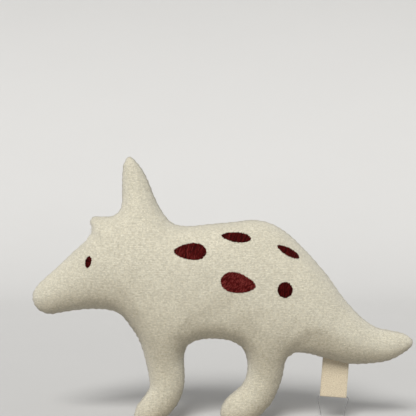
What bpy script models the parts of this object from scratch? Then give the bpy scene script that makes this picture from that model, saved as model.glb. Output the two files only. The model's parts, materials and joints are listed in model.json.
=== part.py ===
"""Stuffed dinosaur: a flat-profile plush of two knitted panels, sewn round the profile and stuffed.

Metres, +Z up.  The toy stands on its two feet at z = 0, its head towards -X, its left side towards
-Y, and its seam in the plane y = 0.  Profile places are (x, z) pairs in millimetres.

The closed, inflated form is meshed once from the profile.  The panels are a thin wall of it, split
at the seam; the stuffing is the form shrunk inside that wall; the embroidery is a thin layer over
it.  At each place where the toy flexes, an hourglass gap through the pivot parts the pieces, so
that they can swing without meeting.
"""
import itertools
import math

import bmesh
import bpy
import numpy as np
from mathutils import Matrix, Vector
from mathutils.geometry import delaunay_2d_cdt

MM = 0.001

# Fabric, seam and filling
PANEL_THICKNESS = 1.2 * MM
GAP = 0.3 * MM
SEAM_SLOT = 1.2 * MM
THREAD_RADIUS = 0.3 * MM
SEAM_DEPTH = 0.6 * MM
EMBROIDERY_THICKNESS = 0.6 * MM

# Fullness: how far the stuffing pushes a panel out of the seam's plane
ROUNDNESS = 1.42
FULLNESS_LIMIT = 54.0

# Mesh sizes of the form, in millimetres
RIM_STEP = 8.0
RING_INSET = 3.5
GRID_STEP = 13.0
SHORTEST_SOLE_EDGE = 3.5

# Profile of the toy at its seam, clockwise from the throat, in millimetres
THROAT = [(-97, 101), (-110, 105.3), (-129, 105.2), (-148, 103), (-164, 101)]
FACE = [(-174.5, 105), (-180.6, 115.5), (-177.6, 126), (-155, 147.5), (-140.5, 161.5), (-128.6, 173)]
BROW = [(-126, 181), (-126.4, 188.6), (-123.4, 193.1), (-114, 193.6), (-104.4, 194)]
HORN = [(-97.4, 199), (-95.5, 209), (-95.4, 228), (-93.8, 243.5), (-88.6, 250.4), (-81.4, 244.5)]
NAPE = [(-73, 232), (-65.4, 214), (-58, 199.8), (-48, 187.9)]
BACK = [(-36, 184.6), (-12, 186.3), (14, 188.8), (30, 190.2), (44, 187.4), (59, 179.2)]
RUMP = [(74, 166), (89, 150), (103.2, 133.2), (114, 117.2), (124.6, 104.7), (136, 94.4)]
TAIL = [(147.5, 87.8), (160, 85.2), (173.6, 81.6), (180.6, 75), (179, 69.8), (170, 63), (156, 56.6)]
TAIL_ROOT = [(137, 54), (119, 54), (95, 59.4), (79, 63.3), (67, 63.6)]
HIND_LEG = [(60.6, 58), (56.8, 41), (51.5, 26), (45, 14), (33, 3), (20, -6), (5, -5.5), (-2, 3)]
HIND_SHIN = [(-1.4, 12), (3, 20), (10.8, 27), (18.4, 34), (22.8, 44), (23, 57), (18, 69)]
BELLY = [(7, 75.6), (-9, 77.8), (-24, 76.2), (-32.5, 71.5)]
FRONT_LEG = [(-36, 62), (-36, 38), (-38.7, 24), (-45, 12.3), (-56, 1.5), (-67, -6), (-79, -5.5)]
FRONT_SHIN = [(-84.5, 1), (-82.8, 11), (-74.6, 22.5), (-69.6, 31), (-70.4, 42), (-74, 58), (-79.4, 76)]
CHEST = [(-86.4, 88)]
PROFILE = (THROAT + FACE + BROW + HORN + NAPE + BACK + RUMP + TAIL + TAIL_ROOT + HIND_LEG
           + HIND_SHIN + BELLY + FRONT_LEG + FRONT_SHIN + CHEST)

# Where the toy flexes: the pivot, the direction from it to the moving piece (degrees above +X),
# half the width there, the reach of the moving piece along and across, and the room for the swing
FLEX_CLEARANCE = 0.6
FLEXES = {
    "head": {"pivot": (-68, 141), "toward": 157, "half_width": 62, "along": 150, "across": 115, "room": 12},
    "horn": {"pivot": (-78, 206), "toward": 90, "half_width": 24, "along": 60, "across": 30, "room": 15},
    "front_leg": {"pivot": (-56, 74), "toward": 258, "half_width": 27, "along": 90, "across": 45, "room": 17},
    "hind_leg": {"pivot": (42, 66), "toward": 263, "half_width": 28, "along": 80, "across": 48, "room": 17},
    "tail": {"pivot": (132, 73), "toward": -20, "half_width": 26, "along": 60, "across": 30, "room": 17},
}
BODY_PARENT = {"torso": None, "head": "torso", "horn": "head", "front_leg": "torso",
               "hind_leg": "torso", "tail": "torso"}

# Seams in the order of the profile, and the piece that carries each
SEAMS = ["face", "horn", "back", "tail", "rump", "hind_leg", "belly", "front_leg"]

# Embroidery: centre, length, height (mm), tilt (degrees), and how much fatter its +X end is
SPOTS = {
    "shoulder_spot": {"centre": (-30.4, 161.4), "size": (29.8, 15), "tilt": 0, "fat_end": 0.28},
    "back_spot": {"centre": (12, 174.4), "size": (27, 9), "tilt": -6, "fat_end": 0.15},
    "rump_spot": {"centre": (60.2, 161), "size": (23, 7), "tilt": -29, "fat_end": 0.1},
    "flank_spot": {"centre": (13.6, 132.6), "size": (32.4, 17.8), "tilt": -12, "fat_end": -0.28},
    "hip_spot": {"centre": (56.6, 126.2), "size": (14, 14.4), "tilt": 0, "fat_end": 0.0},
}
EYE = {"centre": (-124.6, 151.4), "size": (5.8, 11), "tilt": -12, "fat_end": 0.0}
OUTLINE_STEPS = 20

# Folded label caught in the seam under the tail root
LABEL_WIDTH = 25.0
LABEL_LENGTH = 34.3
LABEL_TILT = 4.4
LABEL_THICKNESS = 0.45
LABEL_TOP = (107.4, 56)
LABEL_SEAM_SLOPE = -0.225
LABEL_LAYER_SPREAD = 0.1
FOLD_RADIUS = 1.15
FOLD_STEPS = 8

# Clear plastic loop through the label's fold, closed by its lock on the ground in front
LOOP_DIAMETER = 0.8 * MM
LOOP_BEVEL_RESOLUTION = 2
LOOP_STEP = 2.1
LOCK_CENTRE = (104.6, -26.5, 2.0)
LOCK_SIZE = (6.4, 4.2, 3.4)
LOCK_BEVEL = 0.6
LOOP_ROUTE = [
    (101.0, -26.5, 2.0), (97.5, -26.2, 1.5), (94.2, -23.6, 0.8), (92.6, -18.5, 0.6),
    (92.6, -12.0, 0.6), (93.0, -6.2, 0.9), (93.4, -2.4, 2.8), (93.0, -0.6, 6.5), (92.2, 0.0, 10.5),
    (91.3, 0.0, 15.0), (90.6, 0.0, 19.5), (90.6, 0.0, 21.8), (91.3, 0.0, 23.4), (92.8, 0.0, 23.9),
    (97.0, 0.0, 23.55), (105.0, 0.0, 22.94), (113.0, 0.0, 22.33), (117.2, 0.0, 22.0),
    (118.7, 0.0, 21.3), (119.2, 0.0, 19.6), (118.5, 0.0, 17.0), (117.0, 0.0, 13.0),
    (115.6, -0.6, 7.5), (115.0, -2.4, 3.0), (115.4, -6.2, 0.9), (116.3, -12.0, 0.6),
    (116.6, -18.5, 0.6), (115.2, -23.4, 0.8), (111.7, -26.2, 1.5), (108.2, -26.5, 2.0),
]

# Colours (linear), roughness
KNIT_COLOUR = (0.66, 0.62, 0.50)
FILLING_COLOUR = (0.85, 0.85, 0.84)
THREAD_COLOUR = (0.60, 0.55, 0.43)
EMBROIDERY_COLOUR = (0.075, 0.006, 0.008)
LABEL_COLOUR = (0.60, 0.52, 0.38)
PLASTIC_COLOUR = (0.80, 0.81, 0.82)


def clear_scene():
    for scene_object in list(bpy.data.objects):
        bpy.data.objects.remove(scene_object, do_unlink=True)


def make_material(name, colour, roughness, transmission=0.0):
    material = bpy.data.materials.new(name)
    material.use_nodes = True
    shader = material.node_tree.nodes["Principled BSDF"]
    shader.inputs["Base Color"].default_value = (*colour, 1.0)
    shader.inputs["Roughness"].default_value = roughness
    shader.inputs["Metallic"].default_value = 0.0
    shader.inputs["Transmission Weight"].default_value = transmission
    return material


def add_object(name, data):
    new_object = bpy.data.objects.new(name, data)
    bpy.context.scene.collection.objects.link(new_object)
    return new_object


def smooth_curve(points, step, closed):
    """Centripetal Catmull-Rom curve through the points, read off at even steps along it."""
    points = np.array(points, dtype=float)
    if closed:
        padded = np.vstack([points[-1:], points, points[:2]])
    else:
        padded = np.vstack([2 * points[0] - points[1], points, 2 * points[-1] - points[-2]])
    dense = []
    for p0, p1, p2, p3 in zip(padded, padded[1:], padded[2:], padded[3:]):
        t1 = math.sqrt(math.dist(p0, p1))
        t2 = t1 + math.sqrt(math.dist(p1, p2))
        t3 = t2 + math.sqrt(math.dist(p2, p3))
        for t in np.linspace(t1, t2, 12, endpoint=False):
            a1 = ((t1 - t) * p0 + t * p1) / t1
            a2 = ((t2 - t) * p1 + (t - t1) * p2) / (t2 - t1)
            a3 = ((t3 - t) * p2 + (t - t2) * p3) / (t3 - t2)
            b1 = ((t2 - t) * a1 + t * a2) / t2
            b2 = ((t3 - t) * a2 + (t - t1) * a3) / (t3 - t1)
            dense.append(((t2 - t) * b1 + (t - t1) * b2) / (t2 - t1))
    dense.append(points[0] if closed else points[-1])
    dense = np.array(dense)
    arc = np.concatenate([[0.0], np.cumsum(np.linalg.norm(np.diff(dense, axis=0), axis=1))])
    count = round(arc[-1] / step)
    stations = np.linspace(0.0, arc[-1], count + 1)
    if closed:
        stations = stations[:-1]
    return np.column_stack([np.interp(stations, arc, column) for column in dense.T])


def distance_and_inside(point, outline):
    """Distance from a point to a closed outline, and whether the point lies inside it."""
    start = outline
    end = np.roll(outline, -1, axis=0)
    edge = end - start
    share = np.clip(((point - start) * edge).sum(axis=1) / (edge ** 2).sum(axis=1), 0.0, 1.0)
    nearest = start + share[:, None] * edge
    distance = np.linalg.norm(nearest - point, axis=1).min()
    spans = (start[:, 1] > point[1]) != (end[:, 1] > point[1])
    rise = np.where(edge[:, 1] == 0.0, 1.0, edge[:, 1])
    crossing = start[:, 0] + (point[1] - start[:, 1]) * edge[:, 0] / rise
    return distance, bool(np.count_nonzero(spans & (crossing > point[0])) % 2)


def inward_normals(outline):
    """Unit vectors into a clockwise outline, one for each of its points."""
    ahead = np.roll(outline, -1, axis=0) - np.roll(outline, 1, axis=0)
    inward = np.column_stack([ahead[:, 1], -ahead[:, 0]])
    return inward / np.linalg.norm(inward, axis=1)[:, None]


def triangulate_profile(outline):
    """Triangles over the profile: its own points first, then a ring close inside them, which keeps
    the toy round beside its seam, and a triangular grid."""
    low = outline.min(axis=0)
    high = outline.max(axis=0)
    row_step = GRID_STEP * math.sqrt(3) / 2
    inner = list(outline + RING_INSET * inward_normals(outline))
    for row in range(int((high[1] - low[1]) / row_step) + 1):
        shift = GRID_STEP / 2 * (row % 2)
        for column in range(int((high[0] - low[0]) / GRID_STEP) + 1):
            point = low + np.array([column * GRID_STEP + shift, row * row_step])
            distance, inside = distance_and_inside(point, outline)
            if inside and distance > RING_INSET + 0.4 * GRID_STEP:
                inner.append(point)
    places = [Vector(point) for point in outline] + [Vector(point) for point in inner]
    rim = [(i, (i + 1) % len(outline)) for i in range(len(outline))]
    vertices, _, triangles, *_ = delaunay_2d_cdt(places, rim, [], 1, 1e-4)
    return np.array([tuple(vertex) for vertex in vertices]), [tuple(face) for face in triangles]


def pillow_heights(points, triangles, rim_count):
    """Height of a stuffed panel over its flat profile: the root of a membrane's sag under even
    pressure gives a round section, and a limit flattens the widest stretch as stuffing does."""
    count = len(points)
    stiffness = np.zeros((count, count))
    load = np.zeros(count)
    for triangle in triangles:
        corners = points[list(triangle)]
        sides = [corners[1] - corners[0], corners[2] - corners[1], corners[0] - corners[2]]
        doubled_area = abs(sides[0][0] * sides[1][1] - sides[0][1] * sides[1][0])
        for k in range(3):
            i, j = triangle[k], triangle[(k + 1) % 3]
            cotangent = -np.dot(sides[(k + 1) % 3], sides[(k + 2) % 3]) / doubled_area
            stiffness[i, j] -= cotangent / 2
            stiffness[j, i] -= cotangent / 2
            stiffness[i, i] += cotangent / 2
            stiffness[j, j] += cotangent / 2
            load[triangle[k]] += doubled_area / 6
    sag = np.zeros(count)
    sag[rim_count:] = np.linalg.solve(stiffness[rim_count:, rim_count:], load[rim_count:])
    height = ROUNDNESS * np.sqrt(np.maximum(sag, 0.0))
    return height / np.sqrt(1.0 + (height / FULLNESS_LIMIT) ** 2)


def inflated_form(outline):
    """Closed mesh of the stuffed toy, symmetrical about the seam, its feet cut flat at z = 0."""
    points, triangles = triangulate_profile(outline)
    rim_count = len(outline)
    heights = pillow_heights(points, triangles, rim_count)
    form = bmesh.new()
    left = [form.verts.new((x * MM, -h * MM, z * MM)) for (x, z), h in zip(points, heights)]
    right = left[:rim_count]
    for (x, z), h in zip(points[rim_count:], heights[rim_count:]):
        right.append(form.verts.new((x * MM, h * MM, z * MM)))
    for a, b, c in triangles:
        form.faces.new((left[a], left[b], left[c]))
        form.faces.new((right[c], right[b], right[a]))
    shortest = SHORTEST_SOLE_EDGE * MM
    for vertex in form.verts:
        if 0 < vertex.co.z < shortest:
            vertex.co.z = shortest
    cut = bmesh.ops.bisect_plane(form, geom=form.verts[:] + form.edges[:] + form.faces[:],
                                 plane_co=(0, 0, 0), plane_no=(0, 0, -1), clear_outer=True)
    sole_rims = [part for part in cut["geom_cut"] if isinstance(part, bmesh.types.BMVert)]
    bmesh.ops.remove_doubles(form, verts=sole_rims, dist=shortest)
    bmesh.ops.edgenet_fill(form, edges=[edge for edge in form.edges if edge.is_boundary])
    bmesh.ops.recalc_face_normals(form, faces=form.faces[:])
    form.normal_update()
    return form


def layer_mesh(name, form, outer, inner=None):
    """Mesh of the form pushed out by outer; with inner, a closed layer between the two offsets."""
    shell = bmesh.new()
    form.verts.index_update()
    surfaces = [outer] if inner is None else [outer, inner]
    for offset in surfaces:
        made = []
        for vertex in form.verts:
            push = offset * min(vertex.calc_shell_factor(), 1.6)
            made.append(shell.verts.new(vertex.co + vertex.normal * push))
        for face in form.faces:
            corners = [made[vertex.index] for vertex in face.verts]
            shell.faces.new(corners if offset == outer else corners[::-1])
    bmesh.ops.triangulate(shell, faces=shell.faces[:])
    mesh = bpy.data.meshes.new(name)
    shell.to_mesh(mesh)
    shell.free()
    return mesh


def prism(name, outline, low, high):
    """Closed prism of an (x, z) outline in millimetres, from y = low to y = high in metres."""
    solid = bmesh.new()
    base = [solid.verts.new((x * MM, low, z * MM)) for x, z in outline]
    face = solid.faces.new(base)
    pulled = bmesh.ops.extrude_face_region(solid, geom=[face])
    moved = [part for part in pulled["geom"] if isinstance(part, bmesh.types.BMVert)]
    bmesh.ops.translate(solid, verts=moved, vec=(0, high - low, 0))
    bmesh.ops.recalc_face_normals(solid, faces=solid.faces[:])
    mesh = bpy.data.meshes.new(name)
    solid.to_mesh(mesh)
    solid.free()
    cutter = add_object(name, mesh)
    cutter.display_type = "WIRE"
    cutter.hide_render = True
    return cutter


def carved(name, mesh, steps):
    """New mesh: the given one after each Boolean step, a pair of operation and cutter object."""
    blank = add_object(name + "_blank", mesh)
    for operation, cutter in steps:
        cut = blank.modifiers.new("cut", "BOOLEAN")
        cut.operation = operation
        cut.solver = "EXACT"
        cut.object = cutter
    bpy.context.view_layer.update()
    evaluated = blank.evaluated_get(bpy.context.evaluated_depsgraph_get())
    result = bpy.data.meshes.new_from_object(evaluated)
    bpy.data.objects.remove(blank, do_unlink=True)
    result.name = name
    return result


def flex_axes(flex):
    """Pivot, unit vector towards the moving piece, and unit vector across it, in the profile."""
    angle = math.radians(flex["toward"])
    toward = np.array([math.cos(angle), math.sin(angle)])
    across = np.array([-toward[1], toward[0]])
    return np.array(flex["pivot"], dtype=float), toward, across


def flex_outlines(flex):
    """Outlines of the moving piece's space, and of that space with the hourglass gap added."""
    pivot, toward, across = flex_axes(flex)
    slope = math.tan(math.radians(flex["room"] / 2))
    half, wide, far = flex["half_width"], flex["across"], flex["along"]

    def edge(side):
        return FLEX_CLEARANCE / 2 + abs(side) * slope

    moving = [(0, edge(0)), (wide, edge(wide)), (wide, far), (-wide, far), (-wide, edge(wide))]
    gap = [(0, -edge(0)), (half, -edge(half)), (half, edge(half)), (wide, edge(wide)), (wide, far),
           (-wide, far), (-wide, edge(wide)), (-half, edge(half)), (-half, -edge(half))]
    return [[tuple(pivot + side * across + ahead * toward) for side, ahead in outline]
            for outline in (moving, gap)]


def body_at(point):
    """Body that a place on the seam belongs to, or None inside a flex gap."""
    body = "torso"
    for name, flex in FLEXES.items():
        pivot, toward, across = flex_axes(flex)
        side = abs(np.dot(point - pivot, across))
        ahead = np.dot(point - pivot, toward)
        edge = FLEX_CLEARANCE / 2 + side * math.tan(math.radians(flex["room"] / 2))
        if side < flex["half_width"] and abs(ahead) < edge + 1.5:
            return None
        if side < flex["across"] and 0 < ahead < flex["along"]:
            body = name
    return body


def egg_outline(shape):
    """Rounded outline of an embroidered spot, fatter at one end."""
    half_length, half_height = shape["size"][0] / 2, shape["size"][1] / 2
    tilt = math.radians(shape["tilt"])
    outline = []
    for step in range(OUTLINE_STEPS):
        turn = 2 * math.pi * step / OUTLINE_STEPS
        x = half_length * math.cos(turn)
        z = half_height * math.sin(turn) * (1 + shape["fat_end"] * math.cos(turn))
        outline.append((shape["centre"][0] + x * math.cos(tilt) - z * math.sin(tilt),
                        shape["centre"][1] + x * math.sin(tilt) + z * math.cos(tilt)))
    return outline


def add_joints():
    """One empty on each flex pivot, in the chain that the bodies move in."""
    joints = {"torso": None}
    places = {"torso": Vector((0, 0, 0))}
    for name, flex in FLEXES.items():
        places[name] = Vector((flex["pivot"][0] * MM, 0, flex["pivot"][1] * MM))
        joints[name] = add_object(name + "_joint", None)
        parent = BODY_PARENT[name]
        joints[name].parent = joints[parent]
        joints[name].location = places[name] - places[parent]
    return joints, places


def add_piece(name, data, material, body, joints, places):
    """Object of a mesh or curve given in world places, hung on its body's joint."""
    data.transform(Matrix.Translation(-places[body]))
    data.materials.clear()
    data.materials.append(material)
    piece = add_object(name, data)
    piece.parent = joints[body]
    return piece


def add_cloth_and_filling(form, joints, places):
    """Left and right panel and stuffing of each body."""
    knit = make_material("knit", KNIT_COLOUR, 0.95)
    filling = make_material("filling", FILLING_COLOUR, 1.0)
    wall = layer_mesh("wall", form, 0.0, -PANEL_THICKNESS)
    core = layer_mesh("core", form, -PANEL_THICKNESS - GAP)
    room = [(-250, -50), (250, -50), (250, 300), (-250, 300)]
    halves = {"left": prism("left_half", room, -0.2, -SEAM_SLOT / 2),
              "right": prism("right_half", room, SEAM_SLOT / 2, 0.2)}
    moving, gaps = {}, {}
    for name, flex in FLEXES.items():
        moving_outline, gap_outline = flex_outlines(flex)
        moving[name] = prism(name + "_space", moving_outline, -0.15, 0.15)
        gaps[name] = prism(name + "_gap", gap_outline, -0.16, 0.16)
    for body in BODY_PARENT:
        steps = [("INTERSECT", moving[body])] if body in moving else []
        steps += [("DIFFERENCE", gaps[child]) for child, parent in BODY_PARENT.items() if parent == body]
        for side, half in halves.items():
            panel = carved(f"{body}_panel_{side}", wall, [("INTERSECT", half)] + steps)
            add_piece(f"{body}_panel_{side}", panel, knit, body, joints, places)
        stuffing = carved(f"{body}_stuffing", core, steps)
        add_piece(f"{body}_stuffing", stuffing, filling, body, joints, places)
    for cutter in [*halves.values(), *moving.values(), *gaps.values()]:
        bpy.data.objects.remove(cutter, do_unlink=True)


def add_seam_threads(outline, joints, places):
    """Sewing thread in the slot between the panels, one length for each stretch of seam."""
    thread = make_material("thread", THREAD_COLOUR, 0.8)
    path = outline * MM + inward_normals(outline) * SEAM_DEPTH
    path[:, 1] = np.maximum(path[:, 1], SEAM_DEPTH)
    bodies = [body_at(point) for point in outline]
    runs = [(body, [index for index, _ in run])
            for body, run in itertools.groupby(enumerate(bodies), key=lambda item: item[1])]
    runs = [run for run in runs if run[0] is not None and len(run[1]) > 1]
    if bodies[0] is not None and bodies[-1] == bodies[0]:
        first = runs.pop(0)
        runs[-1] = (runs[-1][0], runs[-1][1] + first[1])
    for name, (body, indices) in zip(SEAMS, runs, strict=True):
        places_along = [(path[i][0], 0.0, path[i][1]) for i in indices]
        curve = tube_curve(f"{name}_seam_thread", places_along, THREAD_RADIUS, 0)
        add_piece(f"{name}_seam_thread", curve, thread, body, joints, places)


def tube_curve(name, places_along, radius, bevel_resolution):
    """Round tube with closed ends along a row of places in metres."""
    curve = bpy.data.curves.new(name, "CURVE")
    curve.dimensions = "3D"
    curve.bevel_depth = radius
    curve.bevel_resolution = bevel_resolution
    curve.use_fill_caps = True
    spline = curve.splines.new("POLY")
    spline.points.add(len(places_along) - 1)
    for point, place in zip(spline.points, places_along):
        point.co = (*place, 1.0)
    return curve


def add_embroidery(form, joints, places):
    """Satin-stitched spots and eyes on both sides, lying on the panels."""
    floss = make_material("embroidery", EMBROIDERY_COLOUR, 0.55)
    layer = layer_mesh("stitches", form, GAP + EMBROIDERY_THICKNESS, GAP)
    shapes = [(name, shape, "torso") for name, shape in SPOTS.items()] + [("eye", EYE, "head")]
    for name, shape, body in shapes:
        for side, low, high in (("left", -0.1, -0.002), ("right", 0.002, 0.1)):
            cutter = prism(name + "_outline", egg_outline(shape), low, high)
            patch = carved(f"{name}_{side}", layer, [("INTERSECT", cutter)])
            add_piece(f"{name}_{side}", patch, floss, body, joints, places)
            bpy.data.objects.remove(cutter, do_unlink=True)


def label_section(top):
    """Hairpin section (y, z) of the folded ribbon, from the given top down to the fold."""
    centre = FOLD_RADIUS - LABEL_LENGTH
    inner = FOLD_RADIUS - LABEL_THICKNESS
    section = [(-LABEL_LAYER_SPREAD - LABEL_THICKNESS, top), (-FOLD_RADIUS, centre)]
    for step in range(1, FOLD_STEPS):
        turn = math.pi * (1 + step / FOLD_STEPS)
        section.append((FOLD_RADIUS * math.cos(turn), centre + FOLD_RADIUS * math.sin(turn)))
    section += [(FOLD_RADIUS, centre), (LABEL_LAYER_SPREAD + LABEL_THICKNESS, top)]
    section += [(LABEL_LAYER_SPREAD, top), (inner, centre)]
    for step in range(1, FOLD_STEPS):
        turn = math.pi * (2 - step / FOLD_STEPS)
        section.append((inner * math.cos(turn), centre + inner * math.sin(turn)))
    return section + [(-inner, centre), (-LABEL_LAYER_SPREAD, top)]


def add_label():
    """Folded ribbon label, hinged on its top edge, where the seam holds it."""
    ribbon = bmesh.new()
    tilt = math.radians(LABEL_TILT)
    slope = LABEL_SEAM_SLOPE + math.tan(tilt)
    rings = []
    for side in (-1, 1):
        x = side * LABEL_WIDTH / 2
        ring = [ribbon.verts.new((x * MM, y * MM, z * MM)) for y, z in label_section(x * slope)]
        rings.append(ring)
    count = len(rings[0])
    for i in range(count):
        j = (i + 1) % count
        ribbon.faces.new((rings[0][i], rings[0][j], rings[1][j], rings[1][i]))
    ribbon.faces.new(rings[0])
    ribbon.faces.new(rings[1])
    bmesh.ops.recalc_face_normals(ribbon, faces=ribbon.faces[:])
    mesh = bpy.data.meshes.new("label")
    ribbon.to_mesh(mesh)
    ribbon.free()
    mesh.materials.append(make_material("label_cotton", LABEL_COLOUR, 0.9))
    label = add_object("label", mesh)
    label.location = (LABEL_TOP[0] * MM, 0, LABEL_TOP[1] * MM)
    label.rotation_euler = (0, tilt, 0)


def add_tag_loop():
    """Plastic loop through the label's fold, and the lock that closes it."""
    plastic = make_material("clear_plastic", PLASTIC_COLOUR, 0.15, transmission=0.8)
    places_along = smooth_curve(LOOP_ROUTE, LOOP_STEP, closed=False) * MM
    curve = tube_curve("tag_loop", places_along, LOOP_DIAMETER / 2, LOOP_BEVEL_RESOLUTION)
    curve.materials.append(plastic)
    add_object("tag_loop", curve)
    block = bmesh.new()
    bmesh.ops.create_cube(block, size=1.0)
    bmesh.ops.scale(block, vec=Vector(LOCK_SIZE) * MM, verts=block.verts[:])
    bmesh.ops.bevel(block, geom=block.edges[:], offset=LOCK_BEVEL * MM, segments=2, affect="EDGES")
    mesh = bpy.data.meshes.new("tag_loop_lock")
    block.to_mesh(mesh)
    block.free()
    mesh.materials.append(plastic)
    lock = add_object("tag_loop_lock", mesh)
    lock.location = Vector(LOCK_CENTRE) * MM


def shade_round_pieces():
    for piece in bpy.data.objects:
        if piece.type == "MESH":
            piece.data.shade_smooth()
            piece.data.set_sharp_from_angle(angle=math.radians(40))


def build():
    clear_scene()
    outline = smooth_curve(PROFILE, RIM_STEP, closed=True)
    outline[:, 0] -= (outline[:, 0].min() + outline[:, 0].max()) / 2
    joints, places = add_joints()
    form = inflated_form(outline)
    add_cloth_and_filling(form, joints, places)
    add_embroidery(form, joints, places)
    form.free()
    add_seam_threads(outline, joints, places)
    add_label()
    add_tag_loop()
    shade_round_pieces()


build()
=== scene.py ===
"""Looks of the stuffed dinosaur: knitted skin, embroidery, seam stitches, label and plastic loop.

Metres, +Z up, head towards -X, left side towards -Y, seam in the plane y = 0.  The profile, the
embroidered shapes and the loop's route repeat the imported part's, in millimetres as (x, z) pairs.
"""

import json
import math
import random

import bmesh
import bpy
import numpy as np
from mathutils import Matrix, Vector, noise
from mathutils.bvhtree import BVHTree
from mathutils.geometry import delaunay_2d_cdt
from mathutils.kdtree import KDTree


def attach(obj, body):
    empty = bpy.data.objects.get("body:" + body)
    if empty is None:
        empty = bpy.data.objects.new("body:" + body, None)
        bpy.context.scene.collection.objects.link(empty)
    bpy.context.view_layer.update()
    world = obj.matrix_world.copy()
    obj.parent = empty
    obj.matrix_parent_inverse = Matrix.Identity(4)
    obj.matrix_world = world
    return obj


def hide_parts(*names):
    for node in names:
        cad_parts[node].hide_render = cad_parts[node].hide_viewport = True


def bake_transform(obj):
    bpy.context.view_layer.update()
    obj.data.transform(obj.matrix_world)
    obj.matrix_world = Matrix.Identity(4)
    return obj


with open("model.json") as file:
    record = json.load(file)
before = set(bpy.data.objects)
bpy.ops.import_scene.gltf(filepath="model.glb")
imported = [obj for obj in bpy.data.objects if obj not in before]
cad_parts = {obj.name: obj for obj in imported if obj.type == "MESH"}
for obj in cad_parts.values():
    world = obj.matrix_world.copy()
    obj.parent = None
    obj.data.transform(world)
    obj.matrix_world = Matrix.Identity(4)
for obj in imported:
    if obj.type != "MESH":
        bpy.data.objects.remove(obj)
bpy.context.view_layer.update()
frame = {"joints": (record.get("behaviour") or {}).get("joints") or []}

MM = 0.001

# Camera, level with the middle of the toy's flank
VIEW_CENTRE = (-0.014, 0.0, 0.2014)
CAMERA_DISTANCE = 1.0
VIEW_WIDTH = 0.3952
SENSOR_WIDTH = 36.0

# Studio
FLOOR_REACH = 6.0
COVE_START = 1.2
COVE_RADIUS = 1.0
WALL_HEIGHT = 6.0
STAGE_COLOUR = (0.515, 0.512, 0.507)
WORLD_COLOUR = (0.34, 0.34, 0.34)
SUNS = {
    "key": {"towards": (-0.27, -1.0, 0.95), "strength": 3.2, "angle": 26, "colour": (1.0, 0.99, 0.965)},
    "fill": {"towards": (0.9, -1.0, 0.5), "strength": 0.25, "angle": 90, "colour": (0.96, 0.98, 1.0)},
}

# Profile of the toy at its seam, clockwise from the throat
THROAT = [(-97, 101), (-110, 105.3), (-129, 105.2), (-148, 103), (-164, 101)]
FACE = [(-174.5, 105), (-180.6, 115.5), (-177.6, 126), (-155, 147.5), (-140.5, 161.5), (-128.6, 173)]
BROW = [(-126, 181), (-126.4, 188.6), (-123.4, 193.1), (-114, 193.6), (-104.4, 194)]
HORN = [(-97.4, 199), (-95.5, 209), (-95.4, 228), (-93.8, 243.5), (-88.6, 250.4), (-81.4, 244.5)]
NAPE = [(-73, 232), (-65.4, 214), (-58, 199.8), (-48, 187.9)]
BACK = [(-36, 184.6), (-12, 186.3), (14, 188.8), (30, 190.2), (44, 187.4), (59, 179.2)]
RUMP = [(74, 166), (89, 150), (103.2, 133.2), (114, 117.2), (124.6, 104.7), (136, 94.4)]
TAIL = [(147.5, 87.8), (160, 85.2), (173.6, 81.6), (180.6, 75), (179, 69.8), (170, 63), (156, 56.6)]
TAIL_ROOT = [(137, 54), (119, 54), (95, 59.4), (79, 63.3), (67, 63.6)]
HIND_LEG = [(60.6, 58), (56.8, 41), (51.5, 26), (45, 14), (33, 3), (20, -6), (5, -5.5), (-2, 3)]
HIND_SHIN = [(-1.4, 12), (3, 20), (10.8, 27), (18.4, 34), (22.8, 44), (23, 57), (18, 69)]
BELLY = [(7, 75.6), (-9, 77.8), (-24, 76.2), (-32.5, 71.5)]
FRONT_LEG = [(-36, 62), (-36, 38), (-38.7, 24), (-45, 12.3), (-56, 1.5), (-67, -6), (-79, -5.5)]
FRONT_SHIN = [(-84.5, 1), (-82.8, 11), (-74.6, 22.5), (-69.6, 31), (-70.4, 42), (-74, 58), (-79.4, 76)]
CHEST = [(-86.4, 88)]
PROFILE = (THROAT + FACE + BROW + HORN + NAPE + BACK + RUMP + TAIL + TAIL_ROOT + HIND_LEG
           + HIND_SHIN + BELLY + FRONT_LEG + FRONT_SHIN + CHEST)

# Fullness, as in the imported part, and the fine skin's mesh sizes in millimetres
ROUNDNESS = 1.42
FULLNESS_LIMIT = 54.0
SKIN_MESH = {"rim_step": 2.6, "rings": (0.3, 1.2, 2.7, 4.8), "grid": 3.6}
CLOTH_MESH = {"rim_step": 5.0, "rings": (1.3, 4.5), "grid": 6.5}

# Cloth simulation: starting share of the fullness, frames, the most a point may move, and how the
# fine skin takes its moves from the coarse cloth's nearest points
CLOTH_SETTINGS = {"quality": 6, "mass": 0.2, "tension_stiffness": 25, "compression_stiffness": 25,
                  "bending_stiffness": 0.4, "use_pressure": True, "uniform_pressure_force": 4.0,
                  "shrink_min": -0.003}
START_FULLNESS = 0.95
CLOTH_FRAMES = 20
CLOTH_CAP = 4.0 * MM
CARRY_NEIGHBOURS = 6
CARRY_SOFTNESS = 0.5 * MM

# Surface relief in millimetres
GROOVE_DEPTH = 0.9
PUCKER = {"height": 0.34, "reach": 4.0, "pitch": 6.4}
LUMPS = [{"height": 0.7, "size": 38.0}, {"height": 0.22, "size": 12.0}]
CREASE = {"ends": ((-128, 182), (-116, 170)), "depth": 1.5, "width": 4.0}
SOLE_ROUNDING = 2.5

# Layout of the cut panels: spread near the seam and its reach, then rounds of relaxing
FLATTENING = {"spread": 4.2, "reach": 14.0, "rounds": 400, "relaxation": 1.7}

# Painted shade, darker on the underside and towards the feet where less light reaches: its share on the
# underside and how fast it comes on, its share at the feet and its reach upwards
PAINTED_SHADE = {"underside": 0.8, "onset": 1.9, "feet": 0.3, "feet_reach": 85.0}
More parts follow.
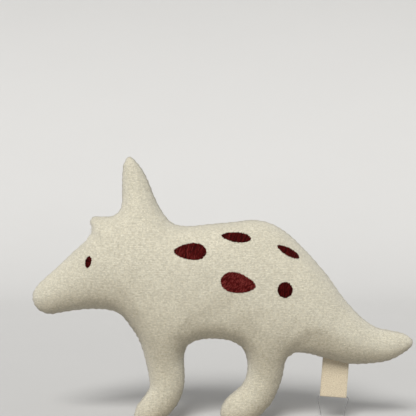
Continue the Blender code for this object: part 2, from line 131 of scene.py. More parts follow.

# Zones at the joints, where the skin is cut into pieces: each zone's direction (degrees above +X),
# and how far along it from the joint the bend starts and ends, half the width of the cut, and the
# reach of the moving piece
ZONES = {
    "head": {"joint": "head_nod", "toward": 157, "start": -12, "end": 10, "cut": 62, "across": 120},
    "horn": {"joint": "horn_bend", "toward": 90, "start": -6, "end": 16, "cut": 30, "across": 30},
    "front_leg": {"joint": "front_leg_swing", "toward": 258, "start": 3, "end": 25, "cut": 32,
                  "across": 45},
    "hind_leg": {"joint": "hind_leg_swing", "toward": 268, "start": 5, "end": 27, "cut": 30,
                 "across": 48},
    "tail": {"joint": "tail_bend", "toward": -20, "start": -6, "end": 18, "cut": 30, "across": 35},
}
CUT_DEPTH = 12 * MM
BODY_PARENT = {"torso": None, "head": "torso", "horn": "head", "front_leg": "torso",
               "hind_leg": "torso", "tail": "torso"}
SEAM_THREADS = {"torso": ["back", "rump", "belly"], "head": ["face"], "horn": ["horn"],
                "front_leg": ["front_leg"], "hind_leg": ["hind_leg"], "tail": ["tail"]}

# Embroidery: centre, length, height, tilt (degrees), how much fatter its +X end is, the stitches'
# direction (degrees from its length), their length, and how light the floss looks
SPOTS = {
    "shoulder_spot": {"centre": (-30.4, 161.4), "size": (29.8, 15), "tilt": 0, "fat_end": 0.28,
                      "grain": 76, "stitch": 4.6, "light": 0.28},
    "back_spot": {"centre": (12, 174.4), "size": (27, 9), "tilt": -6, "fat_end": 0.15,
                  "grain": 70, "stitch": 6.0, "light": 0.12},
    "rump_spot": {"centre": (60.2, 161), "size": (23, 7), "tilt": -29, "fat_end": 0.1,
                  "grain": 96, "stitch": 6.0, "light": 0.14},
    "flank_spot": {"centre": (13.6, 132.6), "size": (32.4, 17.8), "tilt": -12, "fat_end": -0.28,
                   "grain": 58, "stitch": 3.6, "light": 0.52},
    "hip_spot": {"centre": (56.6, 126.2), "size": (14, 14.4), "tilt": 0, "fat_end": 0.0,
                 "grain": 84, "stitch": 5.0, "light": 0.08},
}
EYE = {"centre": (-124.6, 151.4), "size": (5.8, 11), "tilt": -12, "fat_end": 0.0,
       "grain": 8, "stitch": 6.0, "light": 0.06}
FLOSS_PITCH = 0.6
FLOSS_HALF_WIDTH = 0.34
FLOSS_HALF_THICKNESS = 0.2
FLOSS_LIFT = 0.42
RAGGED = 0.75

# A stitch's share along, its lift and its width, as shares of the floss's own
STITCH_PROFILE = [(0.0, -0.35, 0.4), (0.12, 0.55, 0.9), (0.35, 1.0, 1.0),
                  (0.65, 1.0, 1.0), (0.88, 0.55, 0.9), (1.0, -0.35, 0.4)]

# Underlay: steps round it, its size in the shape, its grid, and its lift at the rim and within
UNDERLAY = {"steps": 28, "share": 0.95, "grid": 2.0, "rim_lift": 0.05, "lift": 0.28}

# Ladder stitches down in the seam's groove
LADDER_PITCH = 3.3
LADDER_HALF_LENGTH = 1.0
LADDER_DEPTH = 0.35
LADDER_RADIUS = 0.2

# Folded label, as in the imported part
LABEL_WIDTH = 25.0
LABEL_LENGTH = 34.3
LABEL_TILT = 4.4
LABEL_THICKNESS = 0.45
LABEL_TOP = (107.4, 56)
LABEL_SEAM_SLOPE = -0.225
LABEL_TUCK = 2.4
FOLD_RADIUS = 1.15
LABEL_CLEARANCE = (1.5, 8)

# Plastic loop and its lock
LOOP_DIAMETER = 0.8 * MM
LOCK_CENTRE = (104.6, -26.5, 2.0)
LOCK_SIZE = (6.4, 4.2, 3.4)
LOOP_STEP = 1.2
LOOP_ROUTE = [
    (101.0, -26.5, 2.0), (97.5, -26.2, 1.5), (94.2, -23.6, 0.8), (92.6, -18.5, 0.6),
    (92.6, -12.0, 0.6), (93.0, -6.2, 0.9), (93.4, -2.4, 2.8), (93.0, -0.6, 6.5), (92.2, 0.0, 10.5),
    (91.3, 0.0, 15.0), (90.6, 0.0, 19.5), (90.6, 0.0, 21.8), (91.3, 0.0, 23.4), (92.8, 0.0, 23.9),
    (97.0, 0.0, 23.55), (105.0, 0.0, 22.94), (113.0, 0.0, 22.33), (117.2, 0.0, 22.0),
    (118.7, 0.0, 21.3), (119.2, 0.0, 19.6), (118.5, 0.0, 17.0), (117.0, 0.0, 13.0),
    (115.6, -0.6, 7.5), (115.0, -2.4, 3.0), (115.4, -6.2, 0.9), (116.3, -12.0, 0.6),
    (116.6, -18.5, 0.6), (115.2, -23.4, 0.8), (111.7, -26.2, 1.5), (108.2, -26.5, 2.0),
]

# Knit, in millimetres: UV unit, width of a wale and height of a course
UV_UNIT = 10.0
WALE = 1.6
COURSE = 1.5


def add_object(name, data):
    made = bpy.data.objects.new(name, data)
    bpy.context.scene.collection.objects.link(made)
    return made


def add_built(name, builder, material):
    """Smooth object with a bmesh's mesh; frees the bmesh."""
    mesh = bpy.data.meshes.new(name)
    builder.to_mesh(mesh)
    builder.free()
    mesh.shade_smooth()
    mesh.materials.append(material)
    return add_object(name, mesh)


# ------------ studio

def add_camera():
    data = bpy.data.cameras.new("camera")
    data.sensor_width = SENSOR_WIDTH
    data.lens = SENSOR_WIDTH * CAMERA_DISTANCE / VIEW_WIDTH
    camera = add_object("camera", data)
    camera.location = Vector(VIEW_CENTRE) + Vector((0, -CAMERA_DISTANCE, 0))
    camera.rotation_euler = (math.radians(90), 0, 0)
    bpy.context.scene.camera = camera


def add_studio():
    """Pale floor that sweeps up into a wall far behind, pale surroundings and two soft suns."""
    scene = bpy.context.scene
    scene.view_settings.view_transform = "Standard"
    world = bpy.data.worlds.new("studio")
    world.use_nodes = True
    world.node_tree.nodes["Background"].inputs["Color"].default_value = (*WORLD_COLOUR, 1)
    scene.world = world
    for name, sun in SUNS.items():
        data = bpy.data.lights.new(name, "SUN")
        data.energy = sun["strength"]
        data.angle = math.radians(sun["angle"])
        data.color = sun["colour"]
        lamp = add_object(name + "_sun", data)
        lamp.rotation_euler = Vector(sun["towards"]).to_track_quat("Z", "Y").to_euler()
    section = [(-FLOOR_REACH, 0.0), (0.0, 0.0)]
    for step in range(17):
        turn = math.pi / 2 * step / 16
        section.append((COVE_START + COVE_RADIUS * math.sin(turn), COVE_RADIUS * (1 - math.cos(turn))))
    section.append((COVE_START + COVE_RADIUS, WALL_HEIGHT))
    places = [(side * FLOOR_REACH, y, z) for y, z in section for side in (-1, 1)]
    faces = [(2 * k, 2 * k + 1, 2 * k + 3, 2 * k + 2) for k in range(len(section) - 1)]
    mesh = bpy.data.meshes.new("studio_floor")
    mesh.from_pydata(places, [], faces)
    mesh.shade_smooth()
    material, tree, shader = new_material("studio_paint", STAGE_COLOUR, 0.9)
    grain = put(tree, "ShaderNodeTexNoise", {"Scale": 40.0}).outputs["Fac"]
    tone = ramp(tree, grain, [(0.3, [c * 0.99 for c in STAGE_COLOUR]), (0.7, STAGE_COLOUR)])
    tree.links.new(tone, shader.inputs["Base Color"])
    mesh.materials.append(material)
    add_object("studio_floor", mesh)


# ------------ materials

def new_material(name, colour, roughness):
    material = bpy.data.materials.new(name)
    material.use_nodes = True
    tree = material.node_tree
    shader = tree.nodes["Principled BSDF"]
    shader.inputs["Base Color"].default_value = (*colour, 1)
    shader.inputs["Roughness"].default_value = roughness
    return material, tree, shader


def put(tree, kind, inputs=(), **settings):
    """New node; each input is linked to a socket or set to a value."""
    node = tree.nodes.new(kind)
    for name, value in settings.items():
        setattr(node, name, value)
    for key, value in dict(inputs).items():
        if isinstance(value, bpy.types.NodeSocket):
            tree.links.new(value, node.inputs[key])
        else:
            node.inputs[key].default_value = value
    return node


def calc(tree, operation, a, b=0.0):
    return put(tree, "ShaderNodeMath", {0: a, 1: b}, operation=operation).outputs[0]


def wave(tree, run, period):
    """Sine of a UV run, its period in millimetres."""
    return calc(tree, "SINE", calc(tree, "MULTIPLY", run, 2 * math.pi * UV_UNIT / period))


def ramp(tree, factor, stops):
    node = put(tree, "ShaderNodeValToRGB", {"Fac": factor})
    elements = node.color_ramp.elements
    while len(elements) < len(stops):
        elements.new(1.0)
    for element, (position, colour) in zip(elements, stops):
        element.position = position
        element.color = (*colour, 1)
    return node.outputs["Color"]


def tint(tree, colour, factor, low, high):
    """Colour times a grey that runs from low to high with the factor."""
    grey = put(tree, "ShaderNodeMapRange", {"Value": factor, "To Min": low, "To Max": high})
    return put(tree, "ShaderNodeVectorMath", {0: colour, 1: grey.outputs["Result"]},
               operation="MULTIPLY").outputs[0]


def attribute(tree, name):
    return put(tree, "ShaderNodeAttribute", attribute_name=name).outputs["Fac"]


def bump(tree, shader, height, distance, strength=1.0):
    node = put(tree, "ShaderNodeBump", {"Height": height, "Distance": distance, "Strength": strength})
    tree.links.new(node.outputs["Normal"], shader.inputs["Normal"])


def knit_stitches(tree, panel):
    """Height of the V stitches in their wales and courses, and a tone for each stitch."""
    wander = put(tree, "ShaderNodeTexNoise", {"Vector": panel, "Scale": 1.1, "Detail": 2.0})
    place = put(tree, "ShaderNodeSeparateXYZ", {"Vector": panel})
    shift = put(tree, "ShaderNodeSeparateXYZ", {"Vector": wander.outputs["Color"]})
    across = calc(tree, "ADD", calc(tree, "MULTIPLY", place.outputs["X"], UV_UNIT / WALE),
                  calc(tree, "MULTIPLY", shift.outputs["X"], 1.6))
    along = calc(tree, "ADD", calc(tree, "MULTIPLY", place.outputs["Y"], UV_UNIT / COURSE),
                 calc(tree, "MULTIPLY", shift.outputs["Y"], 1.6))
    column = calc(tree, "FRACT", across)
    from_middle = calc(tree, "ABSOLUTE", calc(tree, "SUBTRACT", column, 0.5))
    leg = calc(tree, "ABSOLUTE", calc(tree, "SINE", calc(tree, "MULTIPLY", across, 2 * math.pi)))
    slant = calc(tree, "ADD", along, calc(tree, "MULTIPLY", from_middle, 1.3))
    loop = calc(tree, "ABSOLUTE", calc(tree, "SINE", calc(tree, "MULTIPLY", slant, math.pi)))
    stitch = calc(tree, "MULTIPLY", calc(tree, "SQRT", leg), calc(tree, "SQRT", loop))
    cell = put(tree, "ShaderNodeCombineXYZ",
               {"X": calc(tree, "FLOOR", across), "Y": calc(tree, "FLOOR", slant)})
    uneven = put(tree, "ShaderNodeTexWhiteNoise", {"Vector": cell.outputs["Vector"]},
                 noise_dimensions="2D")
    return stitch, uneven.outputs["Value"]


def knit_material():
    """Fine cream jersey: columns of V stitches, melange yarn, and painted shade between the stitches,
    along the seam, on the underside and towards the feet.
    """
    material, tree, shader = new_material("knit_jersey", (0.66, 0.62, 0.50), 0.92)
    shader.inputs["Sheen Weight"].default_value = 0.25
    shader.inputs["Sheen Roughness"].default_value = 0.5
    shader.inputs["Specular IOR Level"].default_value = 0.2
    panel = put(tree, "ShaderNodeUVMap", uv_map="panel").outputs["UV"]
    stitch, uneven = knit_stitches(tree, panel)
    yarn = put(tree, "ShaderNodeMapping", {"Vector": panel, "Scale": (2.2, 7.0, 1.0)})
    melange = put(tree, "ShaderNodeTexNoise",
                  {"Vector": yarn.outputs["Vector"], "Scale": 1.4, "Detail": 4.0, "Roughness": 0.6})
    fleck = put(tree, "ShaderNodeTexNoise", {"Vector": panel, "Scale": 9.0, "Detail": 3.0})
    patchy = put(tree, "ShaderNodeTexNoise", {"Vector": panel, "Scale": 0.22, "Detail": 2.0})
    seam = attribute(tree, "seam_distance")
    near_seam = put(tree, "ShaderNodeMapRange", {"Value": seam, "From Min": 0.0, "From Max": 1.4})
    base = ramp(tree, melange.outputs["Fac"],
                [(0.28, (0.515, 0.466, 0.35)), (0.5, (0.625, 0.587, 0.472)), (0.72, (0.69, 0.658, 0.548))])
    base = tint(tree, base, fleck.outputs["Fac"], 0.70, 1.28)
    base = tint(tree, base, uneven, 0.90, 1.10)
    base = tint(tree, base, patchy.outputs["Fac"], 0.94, 1.06)
    # painted shade: the colour darkens down between the stitches and lightens on their tops
    base = tint(tree, base, stitch, 0.66, 1.08)
    # painted shade: the colour darkens within 1.4 mm of the seam, down in its groove
    base = tint(tree, base, near_seam.outputs["Result"], 0.72, 1.0)
    # painted shade: the underside and the feet are darkened and warmed in the colour, standing in for the
    # light that falls off there
    painted_shade_tint = ramp(tree, attribute(tree, "painted_shade_share"), [(0.0, (1.0, 1.0, 1.0)), (1.0, (0.79, 0.745, 0.68))])
    base = put(tree, "ShaderNodeVectorMath", {0: base, 1: painted_shade_tint}, operation="MULTIPLY").outputs[0]
    tree.links.new(base, shader.inputs["Base Color"])
    fuzz = calc(tree, "MULTIPLY", fleck.outputs["Fac"], 0.35)
    bump(tree, shader, calc(tree, "ADD", stitch, fuzz), 0.35 * MM, 0.75)
    return material


def floss_material():
    """Deep maroon embroidery floss; each stitch has its own tone, and fine fibres."""
    material, tree, shader = new_material("maroon_floss", (0.075, 0.006, 0.008), 0.6)
    shader.inputs["Specular IOR Level"].default_value = 0.08
    shader.inputs["Specular Tint"].default_value = (1.0, 0.45, 0.4, 1)
    tone = attribute(tree, "tone")
    place = put(tree, "ShaderNodeTexCoord").outputs["Object"]
    fibre = put(tree, "ShaderNodeTexNoise", {"Vector": place, "Scale": 2600.0, "Detail": 2.0})
    base = ramp(tree, tone, [(0.0, (0.024, 0.001, 0.0012)), (0.45, (0.080, 0.0045, 0.0045)),
                             (1.0, (0.20, 0.036, 0.032))])
    base = tint(tree, base, fibre.outputs["Fac"], 0.7, 1.25)
    tree.links.new(base, shader.inputs["Base Color"])
    bump(tree, shader, fibre.outputs["Fac"], 0.08 * MM, 0.6)
    return material


def thread_material():
    material, tree, shader = new_material("seam_thread", (0.60, 0.55, 0.43), 0.75)
    place = put(tree, "ShaderNodeTexCoord").outputs["Object"]
    ply = put(tree, "ShaderNodeTexWave", {"Vector": place, "Scale": 900.0, "Distortion": 1.0},
              bands_direction="DIAGONAL")
    base = ramp(tree, ply.outputs["Fac"], [(0.0, (0.50, 0.45, 0.34)), (1.0, (0.66, 0.61, 0.49))])
    tree.links.new(base, shader.inputs["Base Color"])
    bump(tree, shader, ply.outputs["Fac"], 0.05 * MM, 0.6)
    return material


def tape_material():
    """Unbleached cotton twill tape with slubs and firmer selvedges."""
    material, tree, shader = new_material("cotton_tape", (0.60, 0.52, 0.38), 0.88)
    shader.inputs["Sheen Weight"].default_value = 0.15
    shader.inputs["Specular IOR Level"].default_value = 0.2
    weave = put(tree, "ShaderNodeUVMap", uv_map="panel").outputs["UV"]
    place = put(tree, "ShaderNodeSeparateXYZ", {"Vector": weave})
    warp = wave(tree, place.outputs["X"], 0.55)
    weft = wave(tree, place.outputs["Y"], 0.5)
    twill = wave(tree, calc(tree, "ADD", place.outputs["X"], place.outputs["Y"]), 1.1)
    height = calc(tree, "ADD", calc(tree, "MULTIPLY", warp, weft), calc(tree, "MULTIPLY", twill, 0.8))
    slub = put(tree, "ShaderNodeTexNoise", {"Vector": weave, "Scale": 9.0, "Detail": 4.0})
    dirt_and_painted_shade = put(tree, "ShaderNodeTexNoise", {"Vector": weave, "Scale": 0.8, "Detail": 2.0})
    base = ramp(tree, slub.outputs["Fac"],
                [(0.3, (0.56, 0.47, 0.33)), (0.5, (0.70, 0.60, 0.44)), (0.7, (0.78, 0.70, 0.54))])
    base = tint(tree, base, dirt_and_painted_shade.outputs["Fac"], 0.92, 1.07)
    # painted shade: the colour darkens in the weave's low places and lightens on its high ones
    level = put(tree, "ShaderNodeMapRange", {"Value": height, "From Min": -1.8, "From Max": 1.8})
    base = tint(tree, base, level.outputs["Result"], 0.84, 1.06)
    edge = attribute(tree, "edge_distance")
    selvedge = put(tree, "ShaderNodeMapRange", {"Value": edge, "From Min": 0.0, "From Max": 1.6})
    base = tint(tree, base, selvedge.outputs["Result"], 0.86, 1.0)
    tree.links.new(base, shader.inputs["Base Color"])
    bump(tree, shader, height, 0.12 * MM, 0.8)
    return material


def plastic_material():
    """Clear nylon with faint draw lines."""
    material, tree, shader = new_material("clear_nylon", (0.36, 0.36, 0.36), 0.16)
    shader.inputs["Transmission Weight"].default_value = 0.55
    shader.inputs["IOR"].default_value = 1.53
    place = put(tree, "ShaderNodeTexCoord").outputs["Object"]
    drawn = put(tree, "ShaderNodeTexNoise", {"Vector": place, "Scale": 900.0, "Detail": 1.0})
    tone = ramp(tree, drawn.outputs["Fac"], [(0.3, (0.30, 0.30, 0.30)), (0.7, (0.40, 0.40, 0.40))])
    tree.links.new(tone, shader.inputs["Base Color"])
    bump(tree, shader, drawn.outputs["Fac"], 0.02 * MM, 0.4)
    return material


# ------------ shape of the stuffed form

def smooth_curve(points, step, closed):
    """Centripetal Catmull-Rom curve through the points, read off at even steps along it."""
    points = np.array(points, dtype=float)
    if closed:
        padded = np.vstack([points[-1:], points, points[:2]])
    else:
        padded = np.vstack([2 * points[0] - points[1], points, 2 * points[-1] - points[-2]])
    dense = []
    for p0, p1, p2, p3 in zip(padded, padded[1:], padded[2:], padded[3:]):
        t1 = math.sqrt(math.dist(p0, p1))
        t2 = t1 + math.sqrt(math.dist(p1, p2))
        t3 = t2 + math.sqrt(math.dist(p2, p3))
        for t in np.linspace(t1, t2, 12, endpoint=False):
            a1 = ((t1 - t) * p0 + t * p1) / t1
            a2 = ((t2 - t) * p1 + (t - t1) * p2) / (t2 - t1)
            a3 = ((t3 - t) * p2 + (t - t2) * p3) / (t3 - t2)
            b1 = ((t2 - t) * a1 + t * a2) / t2
            b2 = ((t3 - t) * a2 + (t - t1) * a3) / (t3 - t1)
            dense.append(((t2 - t) * b1 + (t - t1) * b2) / (t2 - t1))
    dense.append(points[0] if closed else points[-1])
    dense = np.array(dense)
    arc = np.concatenate([[0.0], np.cumsum(np.linalg.norm(np.diff(dense, axis=0), axis=1))])
    stations = np.linspace(0.0, arc[-1], round(arc[-1] / step) + 1)
    if closed:
        stations = stations[:-1]
    return np.column_stack([np.interp(stations, arc, column) for column in dense.T])


def centred_profile(step):
    outline = smooth_curve(PROFILE, step, closed=True)
    outline[:, 0] -= (outline[:, 0].min() + outline[:, 0].max()) / 2
    return outline


def inward_normals(outline):
    """Unit vectors into a clockwise outline, one for each of its points."""
    ahead = np.roll(outline, -1, axis=0) - np.roll(outline, 1, axis=0)
    inward = np.column_stack([ahead[:, 1], -ahead[:, 0]])
    return inward / np.linalg.norm(inward, axis=1)[:, None]


def rim_distance(points, outline):
    """For each point, its distance to the outline, the nearest outline index, and if it is inside."""
    start = outline
    edge = np.roll(outline, -1, axis=0) - outline
    rise = np.where(edge[:, 1] == 0.0, 1.0, edge[:, 1])
    distance, nearest, inside = [], [], []
    for block in np.array_split(points, max(1, len(points) // 400)):
        gap = block[:, None, :] - start
        share = np.clip((gap * edge).sum(axis=2) / (edge ** 2).sum(axis=1), 0.0, 1.0)
        apart = np.linalg.norm(gap - share[:, :, None] * edge, axis=2)
        nearest.append(apart.argmin(axis=1))
        distance.append(apart.min(axis=1))
        above = outline[:, 1] > block[:, 1][:, None]
        spans = above != np.roll(above, -1, axis=1)
        crossing = outline[:, 0] + gap[:, :, 1] * edge[:, 0] / rise
        inside.append(np.count_nonzero(spans & (crossing > block[:, 0][:, None]), axis=1) % 2 == 1)
    return np.concatenate(distance), np.concatenate(nearest), np.concatenate(inside)


def panel_layout(outline, rings, grid):
    """Triangles over the profile: its rim, rings close inside it, and a triangular grid."""
    low = outline.min(axis=0)
    high = outline.max(axis=0)
    row_step = grid * math.sqrt(3) / 2
    inward = inward_normals(outline)
    inner = []
    for inset in rings:
        ring = outline + inset * inward
        distance, _, inside = rim_distance(ring, outline)
        inner.extend(ring[inside & (distance > 0.85 * inset)])
    rows = np.arange(int((high[1] - low[1]) / row_step) + 1)
    columns = np.arange(int((high[0] - low[0]) / grid) + 1)
    lattice = np.array([low + (c * grid + grid / 2 * (r % 2), r * row_step)
                        for r in rows for c in columns])
    distance, _, inside = rim_distance(lattice, outline)
    inner.extend(lattice[inside & (distance > rings[-1] + 0.45 * grid)])
    places = [Vector(point) for point in outline] + [Vector(point) for point in inner]
    rim = [(i, (i + 1) % len(outline)) for i in range(len(outline))]
    vertices, _, triangles, *_ = delaunay_2d_cdt(places, rim, [], 1, 1e-4)
    return np.array([tuple(vertex) for vertex in vertices]), np.array([tuple(t) for t in triangles])


def pillow_heights(points, triangles, rim_count):
    """Height of a stuffed panel: the root of a membrane's sag, found by conjugate gradients."""
    corners = points[triangles]
    sides = np.roll(corners, -1, axis=1) - corners
    doubled = np.abs(sides[:, 0, 0] * sides[:, 1, 1] - sides[:, 0, 1] * sides[:, 1, 0])
    tails, heads, weights = [], [], []
    for k in range(3):
        cotangent = -(sides[:, (k + 1) % 3] * sides[:, (k + 2) % 3]).sum(axis=1) / doubled
        tails.append(triangles[:, k])
        heads.append(triangles[:, (k + 1) % 3])
        weights.append(cotangent / 2)
    tails, heads, weights = map(np.concatenate, (tails, heads, weights))
    count = len(points)
    load = np.bincount(triangles.ravel(), np.repeat(doubled / 6, 3), count)
    diagonal = np.bincount(tails, weights, count) + np.bincount(heads, weights, count)

    def pull(sag):
        force = weights * (sag[tails] - sag[heads])
        total = np.bincount(tails, force, count) - np.bincount(heads, force, count)
        total[:rim_count] = 0.0
        return total

    load[:rim_count] = 0.0
    diagonal[:rim_count] = 1.0
    sag = np.zeros(count)
    residual = load.copy()
    scaled = residual / diagonal
    step = scaled.copy()
    energy = residual @ scaled
    for _ in range(1500):
        pulled = pull(step)
        length = energy / (step @ pulled)
        sag += length * step
        residual -= length * pulled
        scaled = residual / diagonal
        fresh = residual @ scaled
        if fresh < 1e-10:
            break
        step = scaled + fresh / energy * step
        energy = fresh
    height = ROUNDNESS * np.sqrt(np.maximum(sag, 0.0))
    return height / np.sqrt(1.0 + (height / FULLNESS_LIMIT) ** 2)


def closed_form(outline, rings, grid, fullness=1.0):
    """Vertices in metres and triangles of the whole toy; its rim comes first, then left, then right."""
    points, triangles = panel_layout(outline, rings, grid)
    rim_count = len(outline)
    height = fullness * pillow_heights(points, triangles, rim_count)
    left = np.column_stack([points[:, 0], -height, points[:, 1]])
    right = left[rim_count:] * (1, -1, 1)
    mirrored = np.where(triangles < rim_count, triangles, triangles + len(points) - rim_count)
    return np.vstack([left, right]) * MM, np.vstack([triangles, mirrored[:, ::-1]])


def flat_soles(places):
    """Rounds everything below the ground up to it, so that the feet stand flat."""
    radius = SOLE_ROUNDING * MM
    z = places[:, 2]
    places[:, 2] = (z + np.sqrt(z ** 2 + radius ** 2)) / 2 - 0.1 * radius * (z < 4 * radius)
    return places


# ------------ cloth simulation

def stuffing_swell():
    """Where each point of a coarse cloth starts, and how far the stuffing's pressure moves it."""
    outline = centred_profile(CLOTH_MESH["rim_step"])
    places, triangles = closed_form(outline, CLOTH_MESH["rings"], CLOTH_MESH["grid"], START_FULLNESS)
    mesh = bpy.data.meshes.new("cloth")
    mesh.from_pydata(places.tolist(), [], triangles.tolist())
    cloth_object = add_object("cloth", mesh)
    held = cloth_object.vertex_groups.new(name="seam")
    low = [int(i) for i in np.nonzero(places[:, 2] < SOLE_ROUNDING * MM)[0]]
    held.add(list(range(len(outline))) + low, 1.0, "REPLACE")
    cloth = cloth_object.modifiers.new("cloth", "CLOTH")
    for setting, value in CLOTH_SETTINGS.items():
        setattr(cloth.settings, setting, value)
    cloth.settings.vertex_group_mass = held.name
    cloth.settings.effector_weights.gravity = 0.0
    cloth.collision_settings.use_collision = False
    scene = bpy.context.scene
    for number in range(1, CLOTH_FRAMES + 1):
        scene.frame_set(number)
    evaluated = cloth_object.evaluated_get(bpy.context.evaluated_depsgraph_get())
    moved = np.array([tuple(vertex.co) for vertex in evaluated.data.vertices])
    scene.frame_set(1)
    bpy.data.objects.remove(cloth_object, do_unlink=True)
    full = places * (1, 1 / START_FULLNESS, 1)
    swell = moved - full
    size = np.linalg.norm(swell, axis=1)
    return full, swell * np.minimum(1.0, CLOTH_CAP / np.maximum(size, 1e-9))[:, None]


def carry_over(places, coarse, swell):
    """Moves the fine skin as the coarse cloth moved, from its nearest points."""
    tree = KDTree(len(coarse))
    for index, place in enumerate(coarse):
        tree.insert(place, index)
    tree.balance()
    carried = np.zeros_like(places)
    for index, place in enumerate(places):
        found = tree.find_n(place, CARRY_NEIGHBOURS)
        weights = np.array([1.0 / (distance + CARRY_SOFTNESS) ** 2 for _, _, distance in found])
        moves = np.array([swell[i] for _, i, _ in found])
        carried[index] = weights @ moves / weights.sum()
    return places + carried


# ------------ knitted skin

def zone_frame(body):
    """Pivot, direction and bend ends of a body's zone, in metres."""
    zone = ZONES[body]
    joint = next(j for j in frame["joints"] if j["name"] == zone["joint"])
    pivot = Vector(joint["pos_m"])
    angle = math.radians(zone["toward"])
    toward = Vector((math.cos(angle), 0, math.sin(angle)))
    return pivot, toward, pivot + toward * zone["start"] * MM, pivot + toward * zone["end"] * MM


def bodies_of(places):
    """Name of the body that each place of the skin belongs to."""
    names = np.full(len(places), "torso", dtype=object)
    for body, zone in ZONES.items():
        _, toward, start, _ = zone_frame(body)
        across = toward.cross(Vector((0, 1, 0)))
        ahead = (places - np.array(start)) @ np.array(toward)
        side = np.abs((places - np.array(start)) @ np.array(across))
        names[(ahead > 0) & (side < zone["across"] * MM)] = body
    return names


def relief(places, normals, outline):
    """The skin's small unevenness: stuffing lumps, puckers along the seam, the brow's crease."""
    distance, nearest, _ = rim_distance(places[:, [0, 2]] / MM, outline)
    push = np.zeros(len(places))
    for layer in LUMPS:
        for index, place in enumerate(places):
            push[index] += layer["height"] * noise.noise(Vector(place) / (layer["size"] * MM))
    arc = nearest * SKIN_MESH["rim_step"]
    wander = np.array([noise.noise(Vector((a / 23.0, 0.0, 4.2))) for a in arc])
    ripple = np.sin(2 * math.pi * arc / PUCKER["pitch"] + 5.0 * wander)
    push += PUCKER["height"] * ripple * np.exp(-distance / PUCKER["reach"])
    begin, end = np.array(CREASE["ends"]) * MM
    offset = places[:, [0, 2]] - begin
    share = np.clip(offset @ (end - begin) / ((end - begin) @ (end - begin)), 0.0, 1.0)
    apart = np.linalg.norm(offset - share[:, None] * (end - begin), axis=1)
    push -= CREASE["depth"] * np.exp(-(apart / (CREASE["width"] * MM)) ** 2)
    push *= np.clip(places[:, 2] / (6 * MM), 0.0, 1.0)
    return places + normals * push[:, None] * MM


def whole_skin():
    """bmesh of the whole skin, cut along each zone's start."""
    outline = centred_profile(SKIN_MESH["rim_step"])
    places, triangles = closed_form(outline, SKIN_MESH["rings"], SKIN_MESH["grid"])
    places = carry_over(places, *stuffing_swell())
    rim = len(outline)
    groove = inward_normals(outline) * GROOVE_DEPTH * MM
    places[:rim, 0] += groove[:, 0]
    places[:rim, 2] += groove[:, 1]
    places = flat_soles(places)
    skin = bmesh.new()
    vertices = [skin.verts.new(place) for place in places]
    for triangle in triangles:
        skin.faces.new([vertices[i] for i in triangle])
    bmesh.ops.recalc_face_normals(skin, faces=skin.faces[:])
    skin.normal_update()
    normals = np.array([tuple(vertex.normal) for vertex in skin.verts])
    for vertex, place in zip(skin.verts, relief(places, normals, outline)):
        vertex.co = place
    for body, zone in ZONES.items():
        _, toward, start, _ = zone_frame(body)
        across = toward.cross(Vector((0, 1, 0)))
        near = []
        for face in skin.faces:
            offset = face.calc_center_median() - start
            if abs(offset.dot(toward)) < CUT_DEPTH and abs(offset.dot(across)) < zone["cut"] * MM:
                near.append(face)
        geometry = set(near)
        for face in near:
            geometry.update(face.edges)
            geometry.update(face.verts)
        bmesh.ops.bisect_plane(skin, geom=list(geometry), dist=0.3 * MM, plane_co=start,
                               plane_no=toward)
    bmesh.ops.triangulate(skin, faces=[face for face in skin.faces if len(face.verts) > 3])
    skin.normal_update()
    return skin, outline


def bend_or_ride(piece, body):
    """The piece follows its body where the body has no parent; otherwise its placement is only baked into
    its mesh.
    """
    parent = BODY_PARENT[body]
    if parent is None:
        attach(piece, body)
        return
    _, _, start, end = zone_frame(body)
    tuple(start)
    tuple(end)
    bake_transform(piece)


def cut_flat(places, edges, outline):
    """Layout of the skin as the panels were cut, in millimetres: edges get back their own lengths."""
    flat = places[:, [0, 2]] / MM
    distance, nearest, _ = rim_distance(flat, outline)
    spread = FLATTENING["spread"] * np.maximum(math.sqrt(FLATTENING["reach"]) - np.sqrt(distance), 0)
    flat -= spread[:, None] * inward_normals(outline)[nearest]
    tails, heads = edges.T
    lengths = np.linalg.norm(places[tails] - places[heads], axis=1) / MM
    valence = np.bincount(edges.ravel(), minlength=len(flat))
    for _ in range(FLATTENING["rounds"]):
        apart = flat[heads] - flat[tails]
        now = np.maximum(np.linalg.norm(apart, axis=1), 1e-6)
        pull = (0.5 * (now - lengths) / now)[:, None] * apart
        for axis in (0, 1):
            total = np.bincount(tails, pull[:, axis], len(flat))
            total -= np.bincount(heads, pull[:, axis], len(flat))
            flat[:, axis] += FLATTENING["relaxation"] * total / valence
    return flat


def painted_shade_of(places, normals):
    """How much painted shade each place of the skin gets, from 0 to 1: most on the underside, which faces
    away from the light, and towards the feet.
    """
    below = PAINTED_SHADE["underside"] * np.clip(-PAINTED_SHADE["onset"] * normals[:, 2], 0, 1)
    low = PAINTED_SHADE["feet"] * np.clip(1 - places[:, 2] / (PAINTED_SHADE["feet_reach"] * MM), 0, 1)
    return np.clip(below + low, 0, 1)


